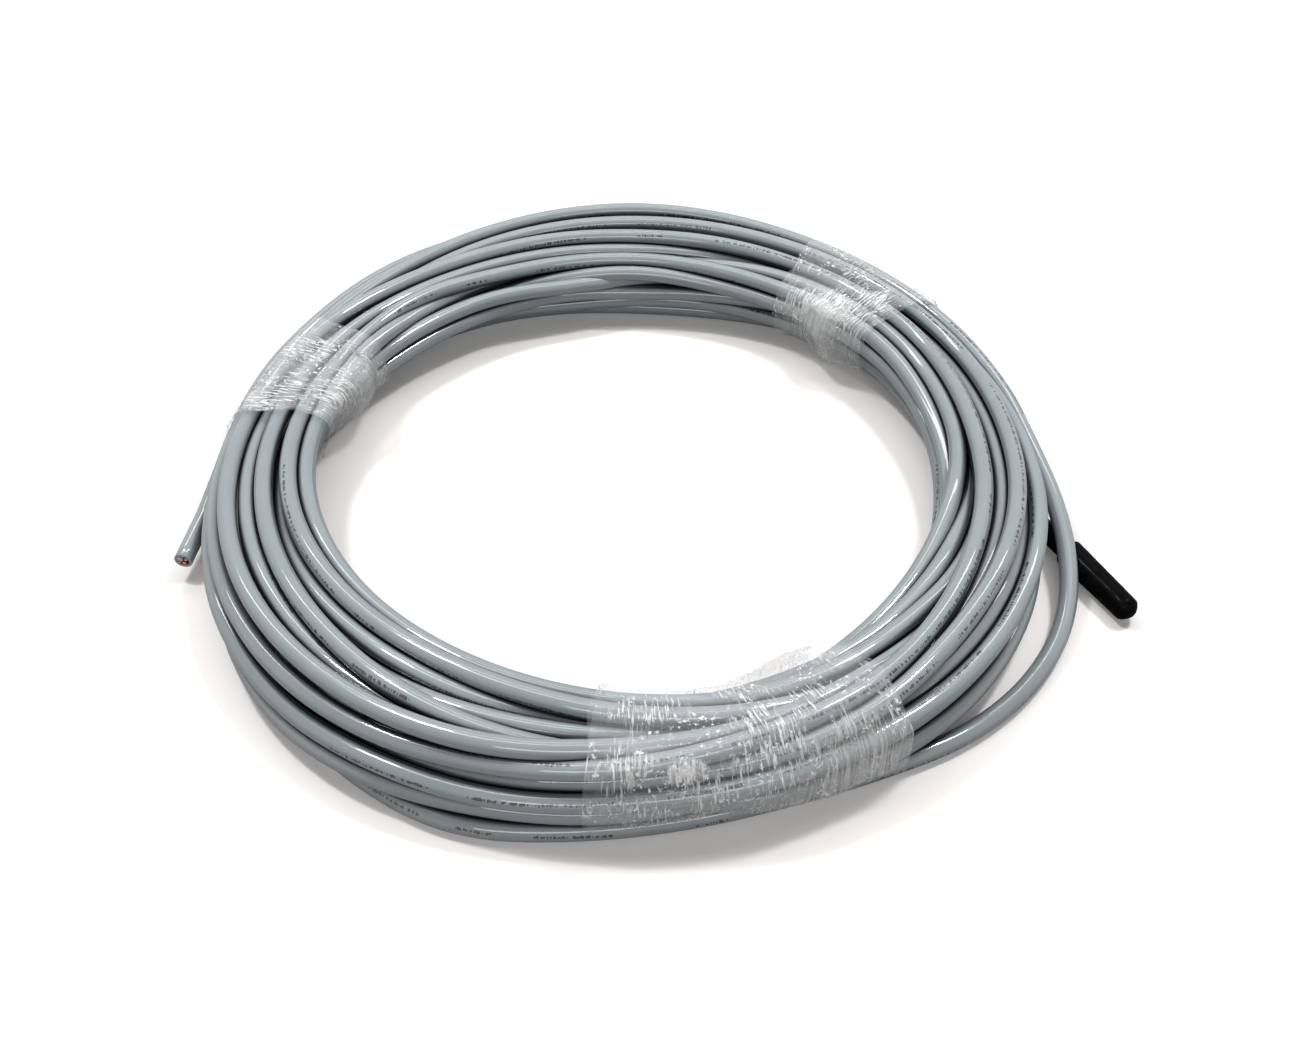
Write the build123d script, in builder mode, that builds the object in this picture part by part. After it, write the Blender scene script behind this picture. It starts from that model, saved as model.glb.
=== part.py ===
"""A coil of screened data cable, bound by three bands of clear film.

Millimetres. The coil lies flat on Z = 0 with its eye round the Z axis, and -Y is its front. The cable runs
anticlockwise, seen from above, from its capped end at the right to its bare cut end at the left.
"""

from build123d import *
import math
import os

# Cable
cable_d = 6.2
jacket_wall = 0.85
foil_wall = 0.12
conductor_d = 1.1
drain_d = 0.6
layer_gap = 0.02
core_clearance = 0.04

# Coil
eye_r = 113.0
turn_pitch = 6.6
row_counts = (4, 5, 4, 3, 2)
ridge_flats = 6

# Film bands: width along the coil, thickness of all the layers together, and the azimuth of the middle
film_wall = 0.3
film_gap = 0.05
film_bands = {
    "film_band_left": (54.0, 164.0),
    "film_band_rear": (54.0, 46.0),
    "film_band_front": (84.0, -76.0),
}

# Cut end
bare_end_length = 20.0

# End cap and the shrink sleeve that it sits on
cap_length = 33.0
cap_d = 10.0
cap_tip_d = 8.6
cap_tip_bevel = 2.6
cap_mouth_chamfer = 0.8
cap_end_wall = 5.0
sleeve_wall = 0.45
sleeve_in_cap = 12.0
sleeve_out = 18.0
cap_clearance = 0.1

# Sizes that follow
turn_r = cable_d / 2
lowest_turn_z = turn_r + film_gap + film_wall
row_rise = turn_pitch * math.sqrt(3) / 2
half_spread = (max(row_counts) - 1) / 2 * turn_pitch
coil_mid_r = eye_r + turn_r + half_spread
coil_outer_r = coil_mid_r + half_spread + turn_r


def row_centres(row, count):
    """Where the turns of one row cross the section, as (radius, height)."""
    height = lowest_turn_z + row * row_rise
    first = coil_mid_r - (count - 1) / 2 * turn_pitch
    return [(first + place * turn_pitch, height) for place in range(count)]


rows = [row_centres(row, count) for row, count in enumerate(row_counts)]
turn_centres = [centre for row in rows for centre in row]
inner_flank = [row[0] for row in rows]
outer_flank = [row[-1] for row in rows]


def beside_coil(azimuth, beyond, height):
    """A point on the cable's line: its azimuth, how far past the coil's outer side it is, and its height."""
    angle = math.radians(azimuth)
    radius = coil_outer_r + beyond
    return Vector(radius * math.cos(angle), radius * math.sin(angle), height)


def radial_plane(azimuth):
    """The upright plane through the coil's axis, with its X pointing out at this azimuth."""
    angle = math.radians(azimuth)
    outward = (math.cos(angle), math.sin(angle), 0)
    sideways = (math.sin(angle), -math.cos(angle), 0)
    return Plane(origin=(0, 0, 0), x_dir=outward, z_dir=sideways)


def corner_radii(points):
    """The largest arc that each corner's two runs leave room for."""
    radii = []
    for before, corner, after in zip(points, points[1:], points[2:]):
        first_run = corner - before
        second_run = after - corner
        half_turn = math.radians(first_run.get_angle(second_run) / 2)
        shorter = min(first_run.length, second_run.length)
        radii.append(0.45 * shorter / math.tan(half_turn))
    return radii


def cable_tube(label, points):
    """A length of whole cable along its route, with the bend radii and the volume printed for checking."""
    radii = corner_radii(points)
    with BuildPart() as tube:
        with BuildLine() as route:
            FilletPolyline(*points, radius=radii)
        with BuildSketch(route.line ^ 0):
            Circle(turn_r)
        sweep()
    tube.part.label = label
    length = route.wire().length
    expected = math.pi * turn_r**2 * length
    print(label, "radii", [round(radius) for radius in radii], "length", round(length, 1))
    print(label, "volume", round(tube.part.volume), "section times length", round(expected))
    return tube.part


def straight_wire(label, place, diameter, core_plane, length):
    """A round wire or core that runs straight inside the cut end, at its place in the section."""
    with BuildPart() as wire:
        with BuildSketch(core_plane):
            with Locations(place):
                Circle(diameter / 2)
        extrude(amount=length)
    wire.part.label = label
    return wire.part


def layer(label, outer_r, inner_r, start_plane, length):
    """A round layer of the cable, from its inner radius to its outer one."""
    with BuildPart() as ring:
        with BuildSketch(start_plane):
            Circle(outer_r)
            Circle(inner_r, mode=Mode.SUBTRACT)
        extrude(amount=length)
    ring.part.label = label
    return ring.part


def turn_sections(gap):
    """Each bundled turn's section, drawn with flats to keep the coil light, standing off the turn by the gap."""
    with BuildSketch() as sections:
        with Locations(*turn_centres):
            RegularPolygon(turn_r + gap, ridge_flats, major_radius=False)
    return sections.sketch


# Bundled turns: one solid of their outer shape, ridged where each turn lies
with BuildPart() as cable_coil:
    with BuildSketch(Plane.XZ):
        add(turn_sections(0))
        inner_foot = (inner_flank[0][0], inner_flank[0][1] - turn_r)
        outer_foot = (outer_flank[0][0], outer_flank[0][1] - turn_r)
        Polygon(inner_foot, *inner_flank, *reversed(outer_flank), outer_foot, align=None)
    revolve(axis=Axis.Z)
cable_coil.part.label = "cable_coil"


# Film bands, each stretched straight from ridge to ridge round the bundle
def bundle_hull(gap):
    """The taut outline round the bundled turns, standing off them by the gap."""
    with BuildSketch() as hull:
        add(turn_sections(gap))
        make_hull()
    return hull.sketch


def film_band(label, width, azimuth):
    """One band of film, its width measured along the middle of the coil."""
    arc = math.degrees(width / coil_mid_r)
    with BuildPart() as band:
        with BuildSketch(radial_plane(azimuth - arc / 2)):
            add(bundle_hull(film_gap + film_wall))
            add(bundle_hull(film_gap), mode=Mode.SUBTRACT)
        revolve(axis=Axis.Z, revolution_arc=arc)
    band.part.label = label
    return band.part


films = [film_band(label, width, azimuth) for label, (width, azimuth) in film_bands.items()]

# Loose outer turn: it leaves the bundle high at the right, crosses over the sleeve, drops to the floor,
# passes outside the front band and goes back into the bundle at the front left
loose_route = [
    beside_coil(27, -7.0, 15.0),
    beside_coil(15, -3.8, 17.0),
    beside_coil(3.5, -1.4, 16.6),
    beside_coil(-7, 2.6, 14.8),
    beside_coil(-16.5, 7.4, 11.6),
    beside_coil(-26, 12.6, 5.4),
    beside_coil(-37, 13.8, turn_r),
    beside_coil(-48, 10.8, turn_r),
    beside_coil(-59, 5.6, turn_r),
    beside_coil(-70, 2.8, turn_r),
    beside_coil(-82, 3.4, turn_r),
    beside_coil(-95, 5.0, turn_r),
    beside_coil(-108, 2.6, turn_r),
    beside_coil(-120, -1.6, 4.6),
    beside_coil(-132, -6.0, 7.8),
]
loose_turn = cable_tube("loose_turn", loose_route)

# Capped end: straight through the cap and the sleeve, then under the loose turn into the bundle
cap_axis_z = cap_d / 2
cap_mouth = beside_coil(-13.4, 9.3, cap_axis_z)
cap_bend = beside_coil(-2.1, -9.4, cap_axis_z - 0.3)
cap_outward = (cap_mouth - cap_bend).normalized()
cap_inward = cap_outward * -1
cap_floor = cap_mouth + cap_outward * (cap_length - cap_end_wall)
capped_tail = cable_tube("capped_tail", [cap_floor, cap_bend, beside_coil(11.0, -8.4, 6.4)])
cap_side = Vector(0, 0, 1).cross(cap_outward).normalized()
sleeve_r = turn_r + layer_gap + sleeve_wall
sleeve_plane = Plane(origin=cap_mouth + cap_inward * sleeve_out, z_dir=cap_outward)
end_sleeve = layer("end_sleeve", sleeve_r, turn_r + layer_gap, sleeve_plane, sleeve_out + sleeve_in_cap)

with BuildPart() as end_cap:
    with BuildSketch(Plane(origin=cap_mouth, x_dir=cap_side, z_dir=cap_side.cross(cap_outward))):
        with BuildLine():
            Polyline(
                (0, cap_length),
                (0, cap_length - cap_end_wall + cap_clearance),
                (turn_r + cap_clearance, cap_length - cap_end_wall + cap_clearance),
                (turn_r + cap_clearance, sleeve_in_cap + cap_clearance),
                (sleeve_r + cap_clearance, sleeve_in_cap + cap_clearance),
                (sleeve_r + cap_clearance, 0),
                (cap_d / 2 - cap_mouth_chamfer, 0),
                (cap_d / 2, cap_mouth_chamfer),
                (cap_tip_d / 2, cap_length - cap_tip_bevel),
                (cap_tip_d / 2 - 0.3 * cap_tip_bevel, cap_length - 0.3 * cap_tip_bevel),
                (cap_tip_d / 2 - cap_tip_bevel, cap_length),
                (0, cap_length),
            )
        make_face()
    revolve(axis=Axis(cap_mouth, cap_outward))
end_cap.part.label = "end_cap"

# Cut end: whole cable up to the bare end, then its jacket, foil, cores, conductors and drain wire
cut_route = [
    beside_coil(178.2, 1.4, 10.4),
    beside_coil(187.5, 6.6, 9.3),
    beside_coil(195.9, 13.8, 8.0),
]
cut_outward = (cut_route[2] - cut_route[1]).normalized()
cut_face = cut_route[2]
bare_end_start = cut_face - cut_outward * bare_end_length
cut_tail = cable_tube("cut_tail", [cut_route[0], cut_route[1], bare_end_start])
bare_plane = Plane(origin=bare_end_start, z_dir=cut_outward)
foil_r = turn_r - jacket_wall - layer_gap
core_space_r = foil_r - foil_wall - layer_gap
core_d = 2 * (core_space_r / (1 + 2 / math.sqrt(3)) - core_clearance)
core_ring_r = core_space_r - core_d / 2
drain_ring_r = core_space_r - drain_d / 2
bare_end = [
    layer("jacket_end", turn_r, turn_r - jacket_wall, bare_plane, bare_end_length),
    layer("shield_foil", foil_r, foil_r - foil_wall, bare_plane, bare_end_length),
]
core_colours = ("red", "black", "white")
for turn, colour in enumerate(core_colours):
    angle = math.radians(90 + turn * 120)
    place = (core_ring_r * math.cos(angle), core_ring_r * math.sin(angle))
    with BuildPart() as core:
        with BuildSketch(bare_plane):
            with Locations(place):
                Circle(core_d / 2)
                Circle(conductor_d / 2 + layer_gap, mode=Mode.SUBTRACT)
        extrude(amount=bare_end_length)
    core.part.label = "core_" + colour
    conductor = straight_wire("conductor_" + colour, place, conductor_d, bare_plane, bare_end_length)
    bare_end += [core.part, conductor]
drain_angle = math.radians(30)
drain_place = (drain_ring_r * math.cos(drain_angle), drain_ring_r * math.sin(drain_angle))
bare_end.append(straight_wire("drain_wire", drain_place, drain_d, bare_plane, bare_end_length))

os.makedirs("parts", exist_ok=True)
export_step(cable_coil.part, "parts/cable_coil.step")
export_step(end_cap.part, "parts/end_cap.step")
for piece in (loose_turn, capped_tail, cut_tail, end_sleeve, *films, *bare_end):
    export_step(piece, "parts/" + piece.label + ".step")
print("coil: eye", 2 * eye_r, "outside", round(2 * coil_outer_r, 1))
print("cap tip", tuple(round(value, 2) for value in cap_mouth + cap_outward * cap_length))
print("cut face", tuple(round(value, 2) for value in cut_face), tuple(round(v, 3) for v in cut_outward))
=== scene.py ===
"""A coil of grey screened data cable in three bands of clear film, with a capped end and a bare cut end.

Metres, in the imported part's frame: the eye is round the Z axis, the coil lies on Z = 0, and -Y is its front.
Only the guide places of the turns and the points of the routes are in millimetres.
"""

import math

import bmesh
import bpy
import numpy as np
from mathutils import Matrix, Vector, noise


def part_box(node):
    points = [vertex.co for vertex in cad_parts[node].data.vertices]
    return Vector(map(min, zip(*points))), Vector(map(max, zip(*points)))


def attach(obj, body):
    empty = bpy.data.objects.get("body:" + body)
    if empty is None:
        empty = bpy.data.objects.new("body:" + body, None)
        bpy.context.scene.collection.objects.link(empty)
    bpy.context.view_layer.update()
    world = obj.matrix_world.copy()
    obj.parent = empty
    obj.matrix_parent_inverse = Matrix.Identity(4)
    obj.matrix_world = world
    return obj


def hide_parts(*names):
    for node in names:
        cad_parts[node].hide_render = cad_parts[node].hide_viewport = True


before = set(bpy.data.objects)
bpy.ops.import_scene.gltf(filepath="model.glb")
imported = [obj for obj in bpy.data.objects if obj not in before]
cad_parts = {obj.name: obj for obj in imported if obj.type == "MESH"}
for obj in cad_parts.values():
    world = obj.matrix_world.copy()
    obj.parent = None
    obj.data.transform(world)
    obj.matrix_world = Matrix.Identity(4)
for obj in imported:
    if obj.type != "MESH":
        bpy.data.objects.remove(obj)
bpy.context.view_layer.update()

# Cable and coil, as in the part. The widest row of the coil has five turns.
CABLE_D = 0.0062
CABLE_R = CABLE_D / 2
JACKET_WALL = 0.00085
BARE_END = 0.020
EYE_R = 0.113
TURN_PITCH = 0.0066
HALF_SPREAD = 2 * TURN_PITCH
COIL_MID_R = EYE_R + CABLE_R + HALF_SPREAD
COIL_OUTER_R = COIL_MID_R + HALF_SPREAD + CABLE_R

# Cap and shrink sleeve, as in the part
CAP_LENGTH = 0.033
CAP_D = 0.010
CAP_TIP_D = 0.0086
CAP_END_WALL = 0.005
SLEEVE_WALL = 0.00045
SLEEVE_IN_CAP = 0.012
SLEEVE_OUT = 0.018

# Routes, as (azimuth, millimetres past the coil's outer side, height). The cut end and the cap's line are as
# in the part. The loose turn lies along the part's, with its points moved.
LOOSE_ROUTE = (
    (-132, 3.4, 3.1), (-120, 5.4, 3.1), (-108, 7.1, 3.1), (-95, 1.0, 3.1), (-82, -2.7, 3.1),
    (-70, -3.7, 3.1), (-59, -0.4, 3.1), (-48, 6.2, 3.1), (-37, 10.4, 3.1), (-26, 11.8, 4.4),
    (-16.5, 8.2, 9.2), (-7, 2.6, 14.0), (3.5, -2.1, 17.0), (15, -4.2, 20.0), (27, -3.1, 23.5),
)
CUT_CORNER = (187.5, 6.6, 9.3)
CUT_FACE = (195.9, 13.8, 8.0)
CAP_BEND = (-2.1, -9.4, 4.7)
CAP_MOUTH = (-13.4, 9.3, 5.0)

# Running azimuths, in degrees, count on from turn to turn
FIRST_AZIMUTH = 15.0
LAST_AZIMUTH = 18 * 360 + 172.5
AZIMUTH_STEP = 7.5
LOOSE_ZERO = 2 * 360  # where the loose turn's azimuths count from
LOOSE_START = LOOSE_ZERO + LOOSE_ROUTE[0][0]  # between this and the next, it lies clear of the bundle
LOOSE_END = LOOSE_ZERO + LOOSE_ROUTE[-2][0]

# The bundled turns, from the capped end to the cut end: the guide places that settle_turns follows,
# as (azimuth, radius, height), with one group for each turn
TURNS = (
    # from the cap, along the floor under the outer side
    ((45, 139, 3.5), (90, 141, 3.5), (170, 140.5, 3.5), (215, 143, 7), (250, 143.5, 9), (275, 141.5, 9),
     (300, 146.5, 9), (310, 147.5, 9.5), (325, 145.5, 10), (340, 143, 9)),
    # outside on the floor, until the loose turn begins at the front left
    ((0, 141, 3.5), (45, 144.5, 9), (90, 147.5, 9), (135, 147, 9), (165, 146, 6.5), (200, 147, 3),
     (220, 148.5, 3)),
    # the loose turn goes back over the outer side, and crosses the whole top at the front
    ((30, 142.5, 24.5), (45, 143.5, 27), (60, 145, 29), (75, 146, 33), (90, 146, 35.5), (100, 145, 35.5),
     (110, 144.5, 34), (125, 144, 30.5), (143, 143, 26.5), (152, 146.5, 21.5), (165, 146, 18.5),
     (200, 146, 19), (220, 147, 20.5), (232, 147, 20.5), (240, 145.5, 19.5), (250, 142.5, 19.5),
     (257, 141.5, 21.5), (265, 142, 23.5), (275, 141, 25), (285, 139, 26.5), (300, 134.5, 27),
     (315, 129, 27.5), (325, 126, 27.5), (340, 123, 28), (355, 121, 28)),
    # over the top, drifting outward until the front, then under
    ((5, 120, 28), (25, 121, 27), (40, 125, 27), (57, 127, 29.5), (80, 127, 31.5), (100, 128.5, 32),
     (112, 130, 31.5), (135, 134.5, 29.5), (155, 138, 27.5), (185, 140, 25.5), (205, 141.5, 26.5),
     (230, 142, 27), (252, 141.5, 27), (270, 137, 26.5), (285, 133.5, 26), (300, 131, 25), (320, 127, 21),
     (345, 129, 18)),
    # inside the bundle at the rear, then the inner edge at the left and the front
    ((0, 129, 17.5), (45, 126, 18.5), (90, 124, 19.5), (110, 121.5, 20.5), (126, 120.5, 22),
     (134, 120.5, 23), (142, 118.5, 23.5), (150, 116.5, 24), (157, 115, 23.5), (175, 116, 24.5),
     (195, 115, 25.5), (205, 113.5, 25), (230, 113.5, 23.5), (250, 113.5, 23), (260, 115, 22.5),
     (270, 116.5, 22), (280, 119.5, 22), (290, 122, 22), (300, 123, 23), (318, 121.5, 23),
     (335, 122, 20)),
    # the inner side: its edge at the rear left, below the one before at the front
    ((0, 121.5, 21.5), (30, 119.5, 21), (90, 116.5, 21), (105, 109, 21), (113, 111.5, 21),
     (122, 115, 20.5), (145, 116.5, 20.5), (165, 117, 20), (180, 119.5, 18), (210, 115.5, 19.5),
     (240, 114.5, 19), (270, 117, 16.5), (300, 115, 18.5), (320, 117, 21), (330, 118, 22.5),
     (338, 118, 22.5), (350, 118.5, 20.5)),
    # the inner side, half way down, climbing to the top at the right
    ((0, 123.5, 15.5), (45, 120, 14.5), (68, 116, 15.5), (82, 110, 16.5), (90, 111, 17), (105, 113, 17),
     (120, 113.5, 16.5), (130, 113.5, 17.5), (140, 113, 19), (150, 114, 20), (165, 121.5, 14),
     (180, 122.5, 12), (210, 115, 13), (240, 114, 12.5), (270, 116, 10.5), (295, 115, 12), (310, 110, 14),
     (320, 110.5, 16), (340, 112.5, 20), (350, 114, 22.5), (357, 116, 24)),
    # over the top at the rear right, inside the bundle at the left, over the top again at the front
    ((5, 117, 24), (25, 120.5, 22.5), (42, 122, 24.5), (58, 120, 26.5), (68, 118.5, 26), (85, 119.5, 22),
     (110, 122.5, 18.5), (140, 124, 18), (180, 128.5, 20.5), (210, 128.5, 20.5), (237, 129, 24),
     (250, 130.5, 25), (265, 130.5, 24.5), (285, 124, 20.5), (320, 123, 15)),
    # down to the floor: the bottom of the bundle nearly all the way round
    ((0, 121, 9.5), (30, 120.5, 7), (52, 126, 4), (73, 116.5, 3.5), (90, 116, 3), (108, 123, 3),
     (125, 129, 3), (150, 132, 3), (180, 126, 5), (210, 117, 6.5), (240, 115, 6), (270, 117, 4),
     (300, 114, 5.5), (335, 112.5, 10), (355, 110.5, 12.5)),
    # up the inner side at the right, over the top at the rear and the left
    ((5, 111.5, 13), (20, 112, 17), (30, 112.5, 19.5), (60, 111, 19.5), (80, 112, 22.5),
     (90, 113.5, 23.5), (108, 116.5, 23.5), (120, 120.5, 19.5), (145, 122, 20.5), (165, 123.5, 20),
     (189, 125, 21.5), (205, 123, 23), (222, 123.5, 25.5), (242, 124.5, 25.5), (259, 125.5, 23.5),
     (275, 120.5, 17), (310, 118.5, 13), (345, 115.5, 7)),
    # low on the inner side at the rear, inside the bundle at the left and the front
    ((13, 113.5, 9), (25, 114.5, 11), (53, 116, 11), (62, 114.5, 11), (81, 115, 10), (90, 113.5, 9.5),
     (108, 113.5, 8.5), (125, 124.5, 9), (150, 127.5, 9), (180, 122.5, 12), (210, 121, 13),
     (240, 120.5, 13), (270, 121, 11), (300, 120, 7.5), (330, 114.5, 14.5), (352, 111.5, 18)),
    # up the inner side at the right, and along the top to the front
    ((10, 112, 20.5), (17, 113, 23.5), (26, 113.5, 25), (58, 113.5, 25), (80, 115.5, 27), (95, 116.5, 25),
     (112, 121, 24), (130, 122, 24.5), (155, 121.5, 26), (185, 121, 26), (195, 120, 26.5),
     (205, 118.5, 27), (233, 118, 27), (250, 119.5, 26.5), (260, 122, 26.5), (270, 125.5, 26),
     (280, 127.5, 25), (287, 128, 24), (310, 127, 17.5), (340, 129, 12)),
    # inside the bundle, coming out at the outer side at the front left and over the top
    ((0, 129.5, 11), (45, 131, 11.5), (90, 134, 13), (135, 135, 12), (180, 137, 12), (215, 141, 13.5),
     (237, 146, 14.5), (247, 144.5, 15.5), (265, 142.5, 19.5), (285, 142.5, 24.5), (295, 141.5, 25.5),
     (307, 138, 27), (325, 134, 28), (345, 132.5, 28), (355, 132, 28)),
    # over the top at the right and the rear, under at the rear left, out on top again at the left
    ((15, 132, 27.5), (26, 133.5, 27.5), (40, 136.5, 27.5), (57, 136.5, 30.5), (75, 136.5, 33),
     (90, 136, 34), (101, 137, 34), (112, 137.5, 32.5), (123, 139.5, 30), (131, 140.5, 27),
     (145, 137, 22.5), (160, 134.5, 22.5), (178, 134, 24), (208, 134.5, 25), (232, 136, 24.5),
     (250, 135.5, 19.5), (285, 133, 19), (305, 130.5, 20), (322, 129.5, 24), (340, 128.5, 24.5)),
    # along the top, outward at the front, then down into the bundle
    ((0, 128, 24.5), (17, 129, 24), (27, 130.5, 24), (50, 129, 23.5), (68, 125.5, 24.5), (79, 123, 26.5),
     (90, 122, 27), (112, 123.5, 27.5), (122, 125, 27), (144, 129, 27), (154, 131, 26.5),
     (169, 130.5, 26), (184, 129, 26), (200, 128, 27), (214, 129, 27.5), (224, 130.5, 28),
     (233, 132, 27.5), (242, 134.5, 27.5), (252, 135.5, 27), (263, 133.5, 22), (300, 134, 13)),
    # inside the bundle, out on the outer side at the right
    ((0, 135.5, 10.5), (45, 136, 17.5), (90, 138, 19.5), (135, 136, 17), (180, 137.5, 18),
     (225, 136, 19.5), (255, 137, 13.5), (285, 139.5, 17.5), (305, 140.5, 22.5), (320, 140, 25),
     (332, 138.5, 25), (343, 137, 23)),
    # the outer side: on the floor at the front left
    ((0, 136.5, 16.5), (45, 142.5, 19), (90, 145, 22), (135, 141.5, 18.5), (165, 141.5, 13.5),
     (200, 144.5, 7.5), (218, 151, 5.5), (237, 151, 3.5), (248, 151, 4.5), (259, 146, 6), (270, 142, 10),
     (280, 141.5, 11.5), (300, 144, 14.5), (311, 144, 16), (320, 142.5, 16)),
    # the outer side, one turn above it
    ((0, 142, 9.5), (45, 141.5, 14), (90, 143.5, 15.5), (135, 142, 13), (165, 146.5, 12.5),
     (198, 147, 13), (210, 150, 12.5), (228, 152, 11), (238, 151, 10.5), (249, 149, 12), (254, 147, 13),
     (260, 145, 15), (270, 142.5, 18.5), (280, 142, 20), (290, 142.5, 21), (320, 142.5, 22.5),
     (338, 141.5, 23.5), (348, 139.5, 23)),
    # up over the rear and down the outer side at the left, where the cut end leaves the bundle
    ((0, 138, 22), (20, 138, 21.5), (60, 141, 25), (90, 142, 28.5), (105, 146, 28.5), (122, 149.5, 29),
     (133, 150.5, 28), (140, 150.5, 26.5), (147, 149.5, 23.5), (153, 149, 20.5), (165, 149, 15),
     (174, 148.5, 12.5)),
)

# How the turns settle: in each round they straighten, follow their guide places and push each other apart
SETTLE_ROUNDS = 500
LAST_ROUNDS = 40  # in these they only push
PUSHES = 2  # in each round
STRAIGHTEN = 0.35
FOLLOW = 0.2
PUSH = 0.3
LONGEST_PUSH = 1.5  # millimetres
TURN_ROOM = 0.05  # between two turns, in millimetres

# Cable mesh
LINE_RESOLUTION = 8  # points of the line for each control point
CABLE_SIDES = 24
CUT_DEPTH = 0.008  # how deep the cut end is hollow
CUT_RIM_ALONG = 0.00012
CUT_RIM_ACROSS = 0.0001
CAP_STRAIGHT = 0.031  # from the bend before the cap to where the cable is straight

# Camera
CAMERA_AT = (0.00725, -0.3443, 0.3103)
CAMERA_TILT = 46.4
CAMERA_LENS = 34.4
CAMERA_SENSOR = 36

# Jacket. The print's heights and its drift are shares of the way round the cable.
JACKET_DARK = (0.262, 0.302, 0.322, 1)
JACKET_LIGHT = (0.294, 0.334, 0.352, 1)
# Painted shade: the jacket is darkened towards this colour in the grooves between turns, within this reach
GROOVE_PAINTED_SHADE = (0.012, 0.014, 0.018, 1)
GROOVE_REACH = 0.006
PRINT_INK = (0.05, 0.055, 0.06, 1)
PRINT_HALF_HEIGHT = 0.030
PRINT_DRIFT = 2.8
PRINT_START = 3.0  # which stretch of the drift's noise the cable takes
PRINT_TICK = 0.00045  # width of a tick, and the share of ticks that are there
PRINT_TICKED = 0.62
PRINT_GROUP = 0.011  # length of a group of ticks, and the share of groups that are there
PRINT_GROUPED = 0.7

# Floor and room
FLOOR_HALF = 3.0
FLOOR_COLOUR = (0.97, 0.935, 0.91, 1)
FLOOR_BOUNCE = (0.4, 0.39, 0.38, 1)  # its colour to all rays but the camera's
GLOW_COLOUR = (1, 0.99, 0.98, 1)
GLOW_FROM, GLOW_TO = 0.17, 0.6  # distances from the middle between which the floor's glow grows
GLOW_NEAR, GLOW_FAR = 0.07, 1.0
ROOM_LEVEL = 0.08

# Softboxes: place, the point that it faces, size along X and across, and power
SOFTBOXES = {
    "softbox_top": ((0.0, 0.16, 1.05), (0.0, 0.0, 0.0), (1.4, 0.18), 3.5),
    "softbox_left": ((-0.45, 0.28, 1.0), (0.0, 0.0, 0.0), (0.16, 0.08), 4.9),
    "softbox_right": ((0.45, 0.28, 1.0), (0.0, 0.0, 0.0), (0.16, 0.08), 4.9),
    "softbox_back": ((0.0, 0.75, 1.0), (0.0, 0.0, 0.0), (1.8, 0.08), 4.0),
    "softbox_front": ((0.0, -0.62, 0.42), (0.0, -0.1, 0.0), (0.6, 0.15), 1.3),
}

# Film bands: width along the coil, azimuth of the middle, turns round the bundle, slack over the eye, and
# where across the band it is slackest
FILM_BANDS = {
    "film_band_left": (0.054, 164, 2.2, 0.006, -0.1),
    "film_band_rear": (0.054, 46, 2.2, 0.006, -0.1),
    "film_band_front": (0.084, -76, 2.1, 0.004, 0.34),
}

# Spots of a band that are crumpled, or scratched and hazy: where they are, as shares of the band's width from
# its middle and of the way round from its underside, how far they spread in each, and their strength. The
# crumpled spots also carry painted glare: whiter film and more painted glints, strongest in the front band's
# first spot, which stands for a lamp's reflection.
CRUMPLED_AND_GLARE_AT = {
    "film_band_left": (
        (0.40, 0.36, 0.10, 0.06, 1.0),
        (0.0, 0.47, 0.30, 0.05, 0.6),
        (0.1, 0.60, 0.45, 0.09, 0.7),
    ),
    "film_band_rear": (
        (0.0, 0.60, 0.26, 0.06, 1.3),
        (-0.30, 0.48, 0.12, 0.05, 0.8),
    ),
    "film_band_front": (
        (-0.21, 0.475, 0.05, 0.026, 3.4),
        (-0.34, 0.50, 0.10, 0.06, 0.8),
        (0.05, 0.50, 0.25, 0.04, 0.45),
    ),
}
SCRATCHED_AT = {
    "film_band_left": ((-0.1, 0.36, 0.3, 0.08, 0.5),),
    "film_band_rear": ((0.1, 0.66, 0.3, 0.1, 0.5),),
    "film_band_front": ((0.34, 0.38, 0.20, 0.10, 1.0), (0.05, 0.30, 0.35, 0.07, 0.6)),
}

# Film mesh
FILM_CELL = 0.0009  # along the coil
FILM_ROUND = 130  # cells round the bundle
OUTLINE_OFF = 0.0004  # from the turns to the taut outline
OUTLINE_LOWEST = 0.0003
FILM_LIFT = 0.0002  # from the outline to the film
FILM_LAYER = 0.00025  # from one layer of film to the next
FILM_LOWEST = 0.0002
FREE_TURN_END = 25.0  # how much of the last bundled turn, in degrees, the bands don't hold

# Film form
CREASE_DRIFT = 0.004
FINE_CREASE = 0.0008
BROAD_CREASE = 0.0012
SIDE_FROM = 0.44  # share of the width from the middle to where a side begins to curl
SIDE_LIFT = 0.0007
SIDE_RAGGED = 1.375  # degrees
SLACK_SPREAD = 0.22
SLACK_FACING = 0.35  # how far inward the outline has to face before the film is slack
FREE_ROWS = 9  # rows of the free end, which lifts
FREE_LIFT = 0.0002
FREE_CURL = 1.3

# Film looks. The marks are so many a metre across the band and round it.
FILM_HAZE = 0.045
FILM_COLOUR = (0.96, 0.97, 0.97, 1)
CREASE_MARKS = (1300, 130, 1)
SCRATCH_MARKS = (1150, 18, 1)
UV_GIRTH = 0.12

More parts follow.
